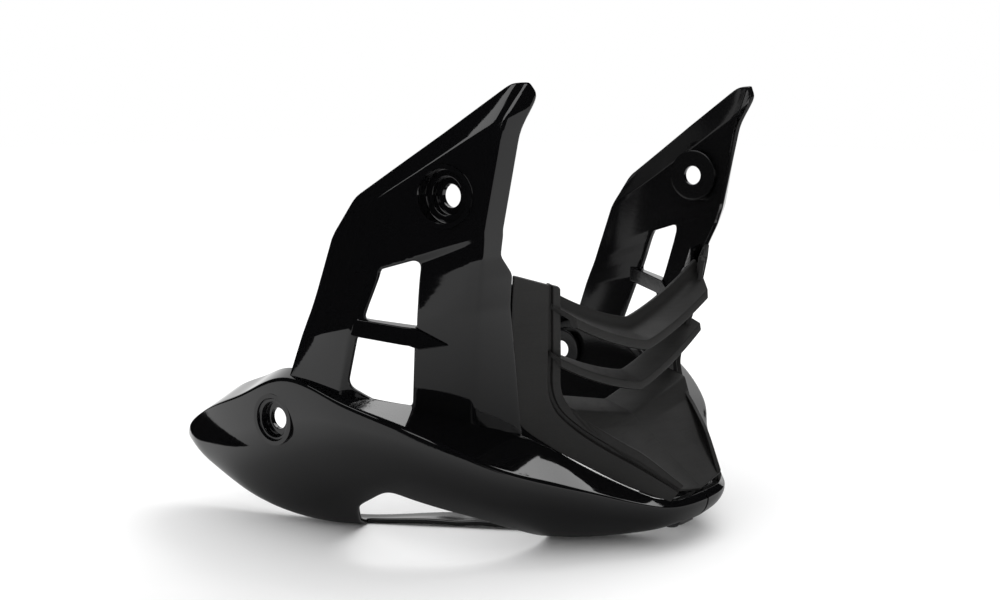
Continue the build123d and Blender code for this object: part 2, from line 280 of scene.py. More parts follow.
# %% Windows and bolt hole of the wing
fine_step, coarse_step, near_steps, far_out, circle_steps = 0.6, 4.0, (1, 2, 3.2), 300.0, 72
upper_window = ((34.2, 158.8), (57.6, 165.8), (49.6, 127.8), (23.4, 131.4))
lower_window = ((19, 122), (46.5, 118.2), (38.4, 83), (29.5, 78), (9.1, 93.2))
upper_window_radii, lower_window_radii, window_step = (2.5, 4, 2, 3), (2.5, 2, 4.5, 8, 7), 1.6
# A bolt has its seat and the radius of its recess. The lid is how far the panel's face lies out from the
# seat, and by how many degrees that face turns inwards on its way to the front.
upper_bolt, upper_recess, upper_lid = (71.5, 125.0, 198.3), 14.0, (7.6, 11.5)


def spaced(marks, end, fine, coarse):
    """Places from 0 to an end, coarse between the marks and fine beside them."""
    places = set()
    stops = sorted({0.0, end, *[m for m in marks if 0 < m < end]})
    for start, stop in zip(stops, stops[1:]):
        near = [n * fine for n in near_steps if n * fine < (stop - start) / 2]
        places.update([start, *[start + d for d in near], *[stop - d for d in near], stop])
        left = near[-1] if near else 0
        count = max(2, int((stop - start - 2 * left) / coarse) + 1)
        places.update(np.linspace(start + left, stop - left, count))
    return np.array(sorted(places))


def finder(skin, across, along):
    """Reads where rays meet a skin, as places on it."""
    grid = np.stack(np.meshgrid(across, along), axis=-1).reshape(-1, 2)
    points = [Vector(p) for p in skin.at(grid)]
    wide = len(across)
    triangles = []
    for j in range(len(along) - 1):
        for k in range(j * wide, (j + 1) * wide - 1):
            triangles += [(k, k + 1, k + wide + 1), (k, k + wide + 1, k + wide)]
    tree = BVHTree.FromPolygons(points, triangles)

    def find(origin, direction):
        hit, _, index, _ = tree.ray_cast(Vector(origin), Vector(direction).normalized())
        if hit is None:
            raise ValueError(f"no skin on the ray from {tuple(origin)}")
        corners = triangles[index]
        flat = [Vector((*grid[k], 0)) for k in corners]
        place = barycentric_transform(hit, *[points[k] for k in corners], *flat)
        return place.x, place.y

    return find


def from_side(find, points):
    """Places on a skin of points that are drawn in side view."""
    return np.array([find((x, far_out, z), (0, -1, 0)) for x, z in points])


def circle(x, z, radius):
    turns = np.arange(circle_steps) * 2 * math.pi / circle_steps
    return np.column_stack((x + radius * np.cos(turns), z + radius * np.sin(turns)))


wing_places = spaced(wing_across[bow_columns - 1:], wing_width, fine_step, coarse_step)
wing_levels = spaced(wing_along, wing_height, fine_step, coarse_step)
find_on_wing = finder(wing_outer, wing_places, wing_levels)
wing_holes = [from_side(find_on_wing, hole) for hole in (
    rounded(upper_window, upper_window_radii, window_step),
    rounded(lower_window, lower_window_radii, window_step),
    circle(upper_bolt[0], upper_bolt[2], upper_recess))]
print("openings of the wing have", [len(hole) for hole in wing_holes], "points")

# %% [markdown]
# A skin has no thickness yet. Blender's Solidify modifier could give it one, but with square edges, so each
# plate will be filled between its loops by hand. The outline runs anticlockwise and the holes clockwise, so
# that the material is always on the left, and the loops can say which points lie in the material.

# %% Sides of a loop
least_mitre = 0.3


def loop_normals(loop):
    """Mitred directions to the left of each point of a closed loop."""
    ahead = np.roll(loop, -1, axis=0) - loop
    ahead = ahead / np.maximum(np.linalg.norm(ahead, axis=1), tiny)[:, None]
    left = np.stack((-ahead[:, 1], ahead[:, 0]), axis=1)
    before = np.roll(left, 1, axis=0)
    return (left + before) / np.maximum(1 + (left * before).sum(axis=1), least_mitre)[:, None]


def turned(loop, clockwise):
    x, y = loop[:, 0], loop[:, 1]
    area = (x * np.roll(y, -1) - np.roll(x, -1) * y).sum()
    return loop[::-1] if (area < 0) != clockwise else loop


def inside_loop(points, loop):
    x, y = points[:, 0][:, None], points[:, 1][:, None]
    x0, y0 = loop[:, 0], loop[:, 1]
    x1, y1 = np.roll(x0, -1), np.roll(y0, -1)
    with np.errstate(divide="ignore", invalid="ignore"):
        crosses = ((y0 > y) != (y1 > y)) & (x < x0 + (y - y0) / (y1 - y0) * (x1 - x0))
    return crosses.sum(axis=1) % 2 == 1


def within(points, loops):
    """Which points lie inside the first loop and outside the others."""
    keep = inside_loop(points, loops[0])
    for loop in loops[1:]:
        keep &= ~inside_loop(points, loop)
    return keep


def clear_of(points, loop, gap):
    """Which points keep a gap from the edges of a loop."""
    near = np.full(len(points), np.inf)
    for point, step in zip(loop, np.roll(loop, -1, axis=0) - loop):
        share = np.clip((points - point) @ step / max(step @ step, tiny), 0, 1)[:, None]
        near = np.minimum(near, ((points - point - share * step) ** 2).sum(axis=1))
    return near > gap**2


trial_loop = turned(trial_loop, False)
print("the middle of the trial loop is inside it:", bool(within(np.array([[5.0, 5.0]]), [trial_loop])[0]))

# %% [markdown]
# The fill joins the loops and the grid points between them with triangles. A fan or a strip would leave long
# thin ones, which spoil the shading of gloss, so a Delaunay fill is used, which keeps them well shaped.

# %% Fill between loops
merge_within = 1e-6


def filled(loops, across, along, gap):
    """The points and triangles of a fill between loops, and the numbers of each loop's points in it."""
    grid = np.stack(np.meshgrid(across, along), axis=-1).reshape(-1, 2)
    grid = grid[within(grid, loops)]
    edges, numbers, base = [], [], 0
    for loop in loops:
        grid = grid[clear_of(grid, loop, gap)]
        count = len(loop)
        numbers.append(range(base, base + count))
        edges += [(base + k, base + (k + 1) % count) for k in range(count)]
        base += count
    found = delaunay_2d_cdt([Vector(p) for p in np.concatenate(loops + [grid])], edges, [], 1, merge_within)
    flat, triangles = np.array([tuple(p) for p in found[0]]), np.array(found[2])
    triangles = triangles[within(flat[triangles].mean(axis=1), loops)].tolist()
    new_number = {old: new for new, olds in enumerate(found[3]) for old in olds}
    return flat, triangles, [[new_number[k] for k in own] for own in numbers]


_, trial_triangles, _ = filled([trial_loop], range(11), range(11), fine_step)
print("the trial loop is filled with", len(trial_triangles), "triangles")

# %% [markdown]
# A plate is that fill twice, once on each skin, with rings of points between that carry the surface round
# its edge. The real edge is rounded by the mould, and it is where the gloss catches light, so it is worth
# true geometry. The wing is the first plate.

# %% Plates
edge_steps, side_edge = 3, 0.8


def edge_rings(outer, inner, loop, start, edge):
    """Rings of points that carry a plate round its edge, from the outer face to the inner one."""
    front, back = outer.at(loop), inner.at(loop)
    front_in, back_in = outer.at(start), inner.at(start)
    wall = (back - front) / np.linalg.norm(back - front, axis=1)[:, None] * edge
    shares = np.arange(edge_steps + 1) / edge_steps
    rings = [arc(front_in, front, front + wall, t) for t in shares[1:]]
    return rings + [arc(back - wall, back, back_in, t) for t in shares[:-1]]


def strip_faces(one, other):
    """Faces between two closed rings of point numbers."""
    count = len(one)
    return [(one[k], one[(k + 1) % count], other[(k + 1) % count], other[k]) for k in range(count)]


def plate(outer, inner, outline, holes, across, along, edge):
    """Points and faces of a plate between two skins, with rounded edges all round."""
    loops = [turned(outline, False)] + [turned(hole, True) for hole in holes]
    starts = [loop + edge * loop_normals(loop) for loop in loops]
    flat, triangles, numbers = filled(starts, across, along, 0.5 * edge)
    total = len(flat)
    points, size = [outer.at(flat), inner.at(flat)], 2 * total
    faces = [tuple(t) for t in triangles] + [tuple(total + k for k in reversed(t)) for t in triangles]
    for loop, start, own in zip(loops, starts, numbers):
        rings = [own]
        for ring in edge_rings(outer, inner, loop, start, edge):
            points.append(ring)
            rings.append(range(size, size + len(ring)))
            size += len(ring)
        rings.append([total + k for k in own])
        for one, other in zip(rings, rings[1:]):
            faces += strip_faces(other, one)
    return np.concatenate(points), faces


wing = plate(wing_outer, wing_inner, wing_outline, wing_holes, wing_places, wing_levels, side_edge)
print("wing", len(wing[0]), "points", len(wing[1]), "faces")

# %% [markdown]
# The lobe is the belly of the panel: a narrow shelf, a crest, a wall that swells and turns under, and a
# bottom flange. It could be sculpted, or drawn as a subdivision cage, but both ripple where points crowd.
# Its sections stand upright along the length and change slowly, so the numbers that describe one section are
# run through smooth curves and faired, which leaves no ripple for the gloss to show.

# %% Stations of the lobe
row_step, fair_passes = 2.0, 12
# Each section has its crest (X, Y, Z), its heading in degrees, the run and the rise of the shelf behind the
# crest, how far the bottom lies inside the crest, and the height of the bottom.
lobe_sections = (
    (-144, 122, 42, 128, 7, 2.5, 8, 34), (-134, 129, 50.5, 108, 15, 6, 13, 28),
    (-115, 134.5, 61.5, 98, 20, 9, 18, 20), (-75, 142, 77.5, 94, 20, 9, 27, 7),
    (-33, 146, 94, 90, 10, 4, 46, 0), (13, 145, 84.5, 86, 13, 3, 79, 0), (57, 134, 72, 66, 25, 8.5, 81, 0),
    (91, 110, 53.5, 45, 28, 17, 74, 1), (109, 82, 42, 38, 21, 16.6, 58, 0), (123, 65, 36, 37, 16, 10, 48, 0),
    (135, 48, 29.5, 36, 11, 6, 38, 2), (149, 32, 25, 32, 3, 2.8, 27, 6.5),
    (154, 17, 24.5, 18, 2.6, 3.6, 18, 10), (155.3, 0.5, 24.5, 0, 2.6, 4, 16, 10))


def smooth_rows(table, places, step):
    """Rows of numbers at given places run through a smooth curve, at an even step, with its bends faired."""
    slope = np.gradient(table, places, axis=0)
    fine = np.linspace(places[0], places[-1], int((places[-1] - places[0]) / step) + 1)
    k = np.clip(np.searchsorted(places, fine, side="right") - 1, 0, len(places) - 2)
    span = (places[k + 1] - places[k])[:, None]
    t = ((fine - places[k])[:, None]) / span
    rows = ((2 * t**3 - 3 * t**2 + 1) * table[k] + (t**3 - 2 * t**2 + t) * span * slope[k]
            + (3 * t**2 - 2 * t**3) * table[k + 1] + (t**3 - t**2) * span * slope[k + 1])
    for _ in range(fair_passes):
        rows[1:-1] = (rows[:-2] + 2 * rows[1:-1] + rows[2:]) / 4
    return rows, fine


lobe_table = np.array(lobe_sections, float)
stations, lobe_along = smooth_rows(lobe_table, lengths(lobe_table[:, :2]), row_step)
print(len(lobe_table), "sections become", len(stations), "stations")

# %% [markdown]
# At each station the section is drawn: the straight shelf with a small lip, and one Bezier curve from the
# crest down to the bottom, which is how a designer would draw such a belly. The inner line has the same
# points moved in by the wall.

# %% Skin of the lobe
lobe_flange, lobe_swell, lobe_shoulder, lobe_turn = 8.0, 0.03, 0.42, 0.35
shelf_columns, belly_columns, lobe_soften = 5, 26, 1.2
# The lip is tucked further under the chin from one X on, over a run.
lip_rest, lip_tuck, tuck_zone = np.array((0.8, 0.8)), np.array((4.5, -0.5)), (30, 40)


def bezier(points, count):
    t = np.linspace(0, 1, count)[:, None]
    a, b, c, d = np.array(points, float)
    return (1 - t) ** 3 * a + 3 * t * (1 - t) ** 2 * b + 3 * t**2 * (1 - t) * c + t**3 * d


def lobe_rows(crest_x, crest_y, crest_z, heading, run, rise, inset, bottom):
    """The outer and the inner line of one upright section."""
    drop, turn = crest_z - bottom, math.radians(heading)
    lines = []
    for wall in (0.0, side_wall):
        start, end = np.array(((-run - wall / 2, rise - wall), (-wall, -wall)))
        shelf = start + (end - start) * np.linspace(0, 1, shelf_columns)[:, None]
        belly = bezier(((-wall, -wall), (lobe_swell * drop - wall, -lobe_shoulder * drop),
                        (-lobe_turn * inset - wall / 2, wall - drop), (-inset, wall - drop)), belly_columns)
        lip = start - lip_rest - lip_tuck * ramp(crest_x, *tuck_zone)
        flat = np.concatenate(([lip], shelf, belly[1:], belly[-1:] - (lobe_flange, 0)))
        lines.append(np.column_stack((crest_x + flat[:, 0] * math.cos(turn),
                                      crest_y + flat[:, 0] * math.sin(turn), crest_z + flat[:, 1])))
    return lines


both_lines = np.array([lobe_rows(*row) for row in stations])
lobe_across = np.mean([lengths(row) for row in both_lines[:, 0]], axis=0)
lobe_outer = Skin(both_lines[:, 0], lobe_across, lobe_along, lobe_soften)
lobe_inner = Skin(both_lines[:, 1], lobe_across, lobe_along, lobe_soften)
lobe_width, lobe_length = lobe_across[-1], lobe_along[-1]
print("lobe skin", round(lobe_width, 1), "by", round(lobe_length, 1), "mm")

# %% [markdown]
# Under the lobe is a long opening that drains water and lets air out. Its upper lip is an arch in the belly,
# which is found along rays that come from outside, and its lower lip is a straight rail on the bottom, found
# along rays that come from below. Drawn that way, both keep their true form wherever the belly curves.

# %% Openings of the lobe
slot_arch = ((-3, 4), (0, 12), (1.5, 18), (6.5, 21.8), (12, 25.2), (17.5, 28.6), (22.5, 31.8), (26.5, 33.8),
             (31, 34.6), (40, 32.6), (64, 26.8), (86, 20.8), (103, 12), (113, 4))
slot_plane_y, slot_heading, slot_step, slot_radius = 130.0, math.radians(66.0), 1.5, 3.0
rail_ends, rail_points = ((-19.3, 93.4), (76.1, 40.2)), 24
ray_outside, ray_below = 150.0, -50.0
rear_bolt, rear_recess, rear_lid = (-43.0, 141.0, 68.5), 12.25, (5.0, 0.0)
lobe_radii, lobe_step = (6, 6, 0, 0), 2.0

lobe_folds = lobe_across[[1, shelf_columns, -2]]
lobe_places = spaced(lobe_folds, lobe_width, fine_step, coarse_step)
lobe_levels = np.linspace(0, lobe_length, int(lobe_length / coarse_step))
find_on_lobe = finder(lobe_outer, lobe_places, lobe_levels)
arch_table = np.array(slot_arch, float)
arch, _ = smooth_rows(arch_table, lengths(arch_table), slot_step)
out_x, out_y = math.cos(slot_heading), math.sin(slot_heading)
slot_lip = [find_on_lobe((x + ray_outside * out_x, slot_plane_y + ray_outside * out_y, z),
                         (-out_x, -out_y, 0)) for x, z in arch]
rail_start, rail_end = np.array(rail_ends)
rail_line = [rail_end + (rail_start - rail_end) * t for t in np.linspace(0, 1, rail_points)]
slot_loop = slot_lip + [find_on_lobe((*place, ray_below), (0, 0, 1)) for place in rail_line]
slot_loop = rounded(slot_loop, [slot_radius] * len(slot_loop), slot_step)
rear_hole = from_side(find_on_lobe, circle(rear_bolt[0], rear_bolt[2], rear_recess))
lobe_corners = ((0, 0), (lobe_width, 0), (lobe_width, lobe_length), (0, lobe_length))
lobe = plate(lobe_outer, lobe_inner, rounded(lobe_corners, lobe_radii, lobe_step), [slot_loop, rear_hole],
             lobe_places, lobe_levels, side_edge)
print("lobe", len(lobe[0]), "points", len(lobe[1]), "faces")

# %% [markdown]
# Smaller forms are moulded in one with the panels: cups, a bar, a flange and bosses. They could be modelled
# in the skin, but simple solids that a boolean joins are quicker. The first is a pointed bar that divides
# the two windows. It is drawn twice, from above and from the side, and each drawing becomes a prism.

# %% Two drawings of the window bar
bar_plan = ((14, 143.6), (19, 143.6), (44, 133), (64, 119), (62, 114), (26, 134), (14, 139))
bar_side = ((14, 132.5), (49.6, 127.8), (63.5, 118.4), (51, 116.2), (46.5, 118.2), (14, 122.8))
bar_foot, bar_rise, bar_inside, bar_depth, bar_round = 60, 120, 80, 100, 0.9


def prism(points, rise):
    """A closed outline of points moved along a rise."""
    points = np.asarray(points, float)
    count = len(points)
    faces = [tuple(reversed(range(count))), tuple(range(count, 2 * count))]
    faces += strip_faces(range(count), range(count, 2 * count))
    return np.concatenate((points, points + np.asarray(rise, float))), faces


bar_parts = [prism([(x, y, bar_foot) for x, y in bar_plan], (0, 0, bar_rise)),
             prism([(x, bar_inside, z) for x, z in bar_side], (0, bar_depth, 0))]
print("drawings of the bar have", [len(points) for points, _ in bar_parts], "points")

# %% [markdown]
# Only what both drawings share is the bar, which a boolean finds. The same boolean will join and drill the
# other parts, so it is a helper that also takes its used pieces away. One shift and one scale bring
# millimetres of the drawing into the frame whenever an object is made, and a bevel rounds the bar's folds.

# %% Booleans and rounded folds
MILLIMETRE = 0.001
drawing_shift = np.array((-5.732, 0.0, 0.477))
flat_angle, fold_angle = 0.01, math.radians(25)


def add_object(name, data):
    made = bpy.data.objects.new(name, data)
    scene.collection.objects.link(made)
    return made


def mesh_object(name, points, faces):
    """An object of points in metres and faces."""
    mesh = bpy.data.meshes.new(name)
    mesh.from_pydata([tuple(p) for p in points], [], faces)
    return add_object(name, mesh)


def make_solid(name, points, faces):
    """An object of points in the drawing's millimetres, with all its faces looking out."""
    made = mesh_object(name, (np.asarray(points, float) + drawing_shift) * MILLIMETRE, faces)
    work = bmesh.new()
    work.from_mesh(made.data)
    bmesh.ops.recalc_face_normals(work, faces=work.faces)
    work.to_mesh(made.data)
    work.free()
    return made


def fuse(name, parts, operation="UNION"):
    """One object from several, joined or cut in turn, with the pieces taken away."""
    objects = [make_solid(f"{name}_{k}", *part) if isinstance(part, tuple) else part
               for k, part in enumerate(parts)]
    for other in objects[1:]:
        step = objects[0].modifiers.new("join", "BOOLEAN")
        step.operation, step.solver, step.object = operation, "MANIFOLD", other
    graph = bpy.context.evaluated_depsgraph_get()
    mesh = bpy.data.meshes.new_from_object(objects[0].evaluated_get(graph))
    for used in objects:
        bpy.data.objects.remove(used, do_unlink=True)
    mesh.name = name
    return add_object(name, mesh)


def soften_edges(made, width, segments=2):
    """Rounds the folds of an object by a bevel of a width in millimetres."""
    work = bmesh.new()
    work.from_mesh(made.data)
    bmesh.ops.dissolve_limit(work, angle_limit=flat_angle, verts=work.verts, edges=work.edges)
    folds = [e for e in work.edges if len(e.link_faces) == 2 and e.calc_face_angle() > fold_angle]
    bmesh.ops.bevel(work, geom=folds, offset=width * MILLIMETRE, segments=segments, affect="EDGES",
                    profile=0.5, clamp_overlap=True)
    work.to_mesh(made.data)
    work.free()
    return made


bar = soften_edges(fuse("bar", bar_parts, "INTERSECT"), bar_round, segments=3)
print("bar", len(bar.data.polygons), "faces")

# %% [markdown]
# A bolt goes into a stepped cup, so that its head lies below the face of the panel. A cup is a round thing,
# so its half section is drawn once and turned round the axis, as a lathe would do it. The open end is then
# pressed flat just under the leaning face, where the hole in the plate takes over.

# %% Bolt cups
bolt_hole, bolt_seat, seat_step, seat_wall, cup_wall, cup_play, cup_spare = 6, 10, 3.5, 3, 2.5, 0.12, 6
cup_radii, cup_step = (0, 0.8, 0.6, 0.6, 0.5, 0.4, 0.8, 0), 1.5


def turned_ring(profile, centre, axes, steps=circle_steps):
    """A closed profile of (radius, height) points, turned round the last of three axes."""
    axis_x, axis_y, axis_z = np.asarray(axes, float)
    points, faces, count = [], [], len(profile)
    for i in range(steps):
        turn = 2 * math.pi * i / steps
        side = math.cos(turn) * axis_x + math.sin(turn) * axis_y
        points += [np.array(centre) + r * side + h * axis_z for r, h in profile]
        there = (i + 1) % steps * count
        faces += strip_faces(range(i * count, (i + 1) * count), range(there, there + count))
    return np.array(points), faces


def bolt_cup(seat, recess, lid):
    """The stepped cup of a bolt hole, ended under the outer face of the panel."""
    reach, lean = lid
    top, inside, outside = reach + cup_spare, recess + cup_play, recess + cup_wall
    profile = rounded(((inside, top), (inside, seat_step), (bolt_seat, seat_step), (bolt_seat, 0),
                       (bolt_hole, 0), (bolt_hole, -seat_wall), (outside, -seat_wall), (outside, top)),
                      cup_radii, cup_step)
    points, faces = turned_ring(profile, seat, ((1, 0, 0), (0, 0, 1), (0, 1, 0)))
    face = seat[1] + reach - math.tan(math.radians(lean)) * (points[:, 0] - seat[0])
    points[:, 1] = np.minimum(points[:, 1], face)
    return points, faces


cups = [bolt_cup(upper_bolt, upper_recess, upper_lid), bolt_cup(rear_bolt, rear_recess, rear_lid)]
print("bolt cups of", [len(points) for points, _ in cups], "points")

# %% [markdown]
# Behind the seam stands a flange that takes the screws of the centre panel. It leans with the seam, so it
# would be awkward to draw in plan. Instead the seam's own directions are worked out, up, in and out, and one
# section in them is pushed up along the seam to a sloped top.

# %% Screw flange
seam_foot, seam_head = ((81.4, 88, 91), (95, 71.3, 89)), ((91, 100, 139), (102.4, 82, 131.5))
flange_length, flange_slope, flange_front, flange_back, flange_round = 61.3, 0.7, -7.6, -10.1, 0.5
flange_section = ((-6, -2), (-1, flange_front), (15, flange_front), (15, flange_back), (-2.5, flange_back),
                  (-9, -3))


def unit(rows):
    return rows / np.linalg.norm(rows, axis=-1)[..., None]


(foot_seam, foot_rim), (head_seam, head_rim) = np.array((seam_foot, seam_head), float)
seam_up = unit(head_seam - foot_seam)
seam_out = unit(np.cross(seam_up, foot_rim + head_rim - foot_seam - head_seam))
seam_in = np.cross(seam_out, seam_up)
seam_axes = np.array((seam_up, seam_in, seam_out))
flange_foot = [foot_seam + seam_in * y + seam_out * z for y, z in flange_section]
flange_rise = [seam_up * (flange_length - flange_slope * y) for y, _ in flange_section]
flange = soften_edges(make_solid("flange", *prism(flange_foot, flange_rise)), flange_round)
print("flange", len(flange.data.polygons), "faces")

# %% [markdown]
# The centre panel closes the front between the side panels. Its border is a band on each side: a broad cheek
# that lies in the seam, a groove along its rim, and a narrow ledge that becomes a channel towards the nose.
# It could be swept along a curve, but its width changes all the way, so a seam line and a rim line are drawn
# as smooth curves, and the band is spanned between them.

# %% Border of the centre panel
centre_wall, seam_gap, band_soften, band_edge, band_step = 2.6, 0.8, 0.5, 0.5, 1.5
band_fine, band_coarse, band_radii = 0.35, 3.0, (1.5, 1.5, 1, 1)
# Each row has a point of the seam and the point of the rim across from it.
band_sections = (
    (95.2, 104, 156.5, 104.8, 85, 150.3), (91, 100, 139, 102.4, 82, 131.5),
    (86, 94, 115.5, 98.6, 76.8, 110.8), (81.4, 88, 91, 95, 71.3, 89),
    (80.6, 82.5, 73.5, 97, 67.8, 78.8), (92.5, 69, 58.4, 104.5, 60.2, 68),
    (110.5, 54.3, 45.3, 117, 51, 57.5), (126.5, 41.2, 34.8, 131.5, 39.5, 47),
    (147.4, 28.9, 26.9, 150.4, 24.5, 32.5))
ledge_run, ledge_share = 8.0, 0.6
# The groove and the ledge, as (distance past the rim, depth under it).
groove = ((0.0, 0.0), (0.5, 2.6), (2.4, 3.0), (3.3, 1.3), (8.0, 1.7))

band_table = np.array(band_sections, float)
band_lines, band_along = smooth_rows(band_table, lengths(band_table), row_step)
seam_line, rim_line = band_lines[:, :3], band_lines[:, 3:]
band_in = unit(rim_line - seam_line)
band_out = unit(np.cross(band_in, np.gradient(seam_line + rim_line, axis=0)))
ledge_scale = np.minimum(1, ledge_share * np.linalg.norm(rim_line - seam_line, axis=1) / ledge_run)[:, None]
band_rows = [seam_line + band_in * seam_gap]
band_rows += [rim_line + (band_in * run - band_out * drop) * ledge_scale for run, drop in groove]
band_rows = np.stack(band_rows, axis=1)
band_across = np.mean([lengths(row) for row in band_rows], axis=0)
band_outer = Skin(band_rows, band_across, band_along, band_soften)
band_inner = Skin(band_rows - band_out[:, None] * centre_wall, band_across, band_along, band_soften)
band_width, band_length = band_across[-1], band_along[-1]
band_corners = ((0, 0), (band_width, 0), (band_width, band_length), (0, band_length))
band = plate(band_outer, band_inner, rounded(band_corners, band_radii, band_step), [],
             spaced(band_across, band_width, band_fine, band_coarse),
             np.linspace(0, band_length, int(band_length / band_coarse)), band_edge)
print("band", len(band[0]), "points", len(band[1]), "faces")

# %% [markdown]
# Between the bands lies the chin, a plate with a shallow valley down its middle, and behind it the scoop wall
# that turns up steeply and leads air under the lower blade. They could be two plates, but the fold between
# them is rounded on the real part, so both are one sheet here: five rows with two edges and a middle.

# %% Chin and scoop
# Each row has its X, its half width, the height of its edges and the height of its middle.
chin_sections = ((85.0, 60, 85.5, 72.5), (104.5, 60, 79, 66.5), (112, 54, 68, 60.5), (132, 37.5, 49.5, 44.5),
                 (151, 22.5, 34.2, 29.6))
chin_wall, chin_soften, chin_edge, chin_step, chin_coarse = (-1.6, 0, -2.05), 1.4, 0.6, 1.5, 3.0
chin_radii = (1, 1, 1, 1)

chin_rows = np.array([[(x, -half, edge), (x, 0, middle), (x, half, edge)]
                      for x, half, edge, middle in chin_sections])
chin_across = np.mean([lengths(row) for row in chin_rows], axis=0)
chin_along = np.mean([lengths(column) for column in chin_rows.swapaxes(0, 1)], axis=0)
chin_outer = Skin(chin_rows, chin_across, chin_along, chin_soften)
chin_inner = Skin(chin_rows + np.array(chin_wall), chin_across, chin_along, chin_soften)
chin_width, chin_length = chin_across[-1], chin_along[-1]
chin_corners = ((0, 0), (chin_width, 0), (chin_width, chin_length), (0, chin_length))
chin = plate(chin_outer, chin_inner, rounded(chin_corners, chin_radii, chin_step), [],
             spaced(chin_across, chin_width, fine_step, chin_coarse),
             spaced(chin_along, chin_length, fine_step, chin_coarse), chin_edge)
print("chin", len(chin[0]), "points", len(chin[1]), "faces")

# %% [markdown]
# Two louvre blades cross the opening above the chin. Each is one profile, a lip with a rounded nose and a
# hollow behind it, swept from the middle out to both rims in a rising curve. A curve object could sweep it,
# but its ends would be square. Here they are cut along the rim: each point of the profile stops where its
# own path meets that cut.

# %% Louvre blades
upper_blade = ((100.4, 123.2), (102.4, 115.2), (114.1, 110.6), (114.9, 105.4), (112.3, 105.0), (111.8, 108.4),
               (99.9, 113.4), (97.8, 122.8))
lower_blade = ((96, 92), (109.8, 86.1), (110.6, 81.5), (108.0, 81.1), (107.5, 84.2), (95.2, 89.6))
upper_blade_radii = (0.8, 6.0, 0.9, 0.7, 0.7, 1.5, 3.0, 0.8)
lower_blade_radii = (0.8, 0.9, 0.7, 0.7, 1.5, 0.8)
upper_sweep, upper_rim_y, lower_sweep, lower_rim_y = -0.02, 82, -0.055, 76.8
blade_rise, blade_bend, blade_stop, blade_cut, blade_vee = 0.333, 0.42, 1.6, 184.0, 0.03
blade_stations, blade_step = np.linspace(-1, 1, 81), 1.4


def blade(profile, radii, sweep, rim_y):
    """A louvre from rim to rim, as rings of points with flat ends."""
    reach = rim_y - blade_stop
    ring = rounded(profile, radii, blade_step)
    stop = np.minimum(1, (blade_cut - ring[:, 0]) / (reach * (1 + sweep)))
    points, count = [], len(ring)
    for station in blade_stations:
        share = station * stop
        bent = np.sqrt(share**2 + blade_vee**2) - blade_vee
        rise = blade_rise * reach * bent * (1 - blade_bend + blade_bend * bent)
        points.append(np.column_stack((ring[:, 0] + sweep * reach * bent, reach * share, ring[:, 1] + rise)))
    rings = [range(i * count, (i + 1) * count) for i in range(len(points))]
    faces = [tuple(rings[0]), tuple(reversed(rings[-1]))]
    for one, other in zip(rings, rings[1:]):
        faces += strip_faces(one, other)
    return np.concatenate(points), faces


blades = [blade(upper_blade, upper_blade_radii, upper_sweep, upper_rim_y),
          blade(lower_blade, lower_blade_radii, lower_sweep, lower_rim_y)]
print("blades of", [len(points) for points, _ in blades], "points")

# %% [markdown]
# Bosses behind the cheeks take the screws. They are turned rings in the seam's directions. One band and its
# bosses are mirrored to the other side, and a union makes one moulding of bands, chin, blades and bosses,
# as it comes out of the real mould.

# %% Join the centre panel
screw_spots, screw_inset, screw_hole = (13.0, 46.0), 7.5, 2.15
boss_radius, boss_height, round_steps = 4.5, 6.2, 40
across_middle = np.array((1, -1, 1))


def mirrored(part):
    points, faces = part
    return points * across_middle, [tuple(reversed(face)) for face in faces]


screw_places = [foot_seam + seam_up * spot + seam_in * screw_inset + seam_out * flange_back
                for spot in screw_spots]
boss_profile = ((screw_hole, 0), (boss_radius, 0), (boss_radius, boss_height), (screw_hole, boss_height))
bosses = [turned_ring(boss_profile, place + seam_out * (flange_front - flange_back), seam_axes, round_steps)
          for place in screw_places]
centre_panel = fuse("centre_panel_shell",
                    [band, mirrored(band), chin, *blades, *bosses, *[mirrored(boss) for boss in bosses]])
print("centre panel", len(centre_panel.data.vertices), "points", len(centre_panel.data.polygons), "faces")

# %% [markdown]
# Six small pan-head screws hold the panels together, four behind the seams and two under the nose. A plain
# cylinder would look like a peg, so a screw's half section is turned round its axis with a domed head, and
# its driver cross is cut out by two narrow prisms.

# %% Screws
head_radius, head_height, head_flat, head_side, head_rim = 4.0, 2.6, 0.5, 1.5, (0.15, 3.85)
shank_radius, shank_end, end_radius = 2.0, 0.6, 1.5
cross_reach, cross_half, cross_start, cross_depth = 2.1, 0.45, 3.0, 1.9
seam_shank, nose_shank = 7.0, 8.3
joiner_x, joiner_y, joiner_z = 135.0, 5.5, 7.8
dome_turns = np.linspace(0.25, 1.57, 7)
dome_wide, dome_high = head_radius - head_flat, head_height - head_side
dome = [(head_flat + dome_wide * math.sin(t), -head_side - dome_high * math.cos(t)) for t in dome_turns]
head_profile = [(head_flat, -head_height), *dome, (head_radius, -head_rim[0]), (head_rim[1], 0)]


def turned_solid(profile, centre, axes):
    """An open profile of (radius, height) points turned round an axis, with flat ends."""
    points, faces = turned_ring(profile, centre, axes, round_steps)
    count = len(profile)
    faces = [face for k, face in enumerate(faces) if k % count != count - 1]
    faces += [tuple(i * count for i in range(round_steps)),
              tuple(i * count + count - 1 for i in reversed(range(round_steps)))]
    return points, faces


def screw(name, place, axes, shank):
    """A screw whose head bears at a place, with its shank along the last of three axes."""
    axis_x, axis_y, axis_z = axes
    profile = head_profile + [(shank_radius, 0), (shank_radius, shank - shank_end), (end_radius, shank)]
    arms = []
    for long_way, short_way in ((axis_x, axis_y), (axis_y, axis_x)):
        ring = [place - axis_z * cross_start + long_way * cross_reach * i + short_way * cross_half * j
                for i, j in ((1, 1), (-1, 1), (-1, -1), (1, -1))]
        arms.append(prism(ring, axis_z * cross_depth))
    return fuse(name, [turned_solid(profile, place, axes), *arms], "DIFFERENCE")


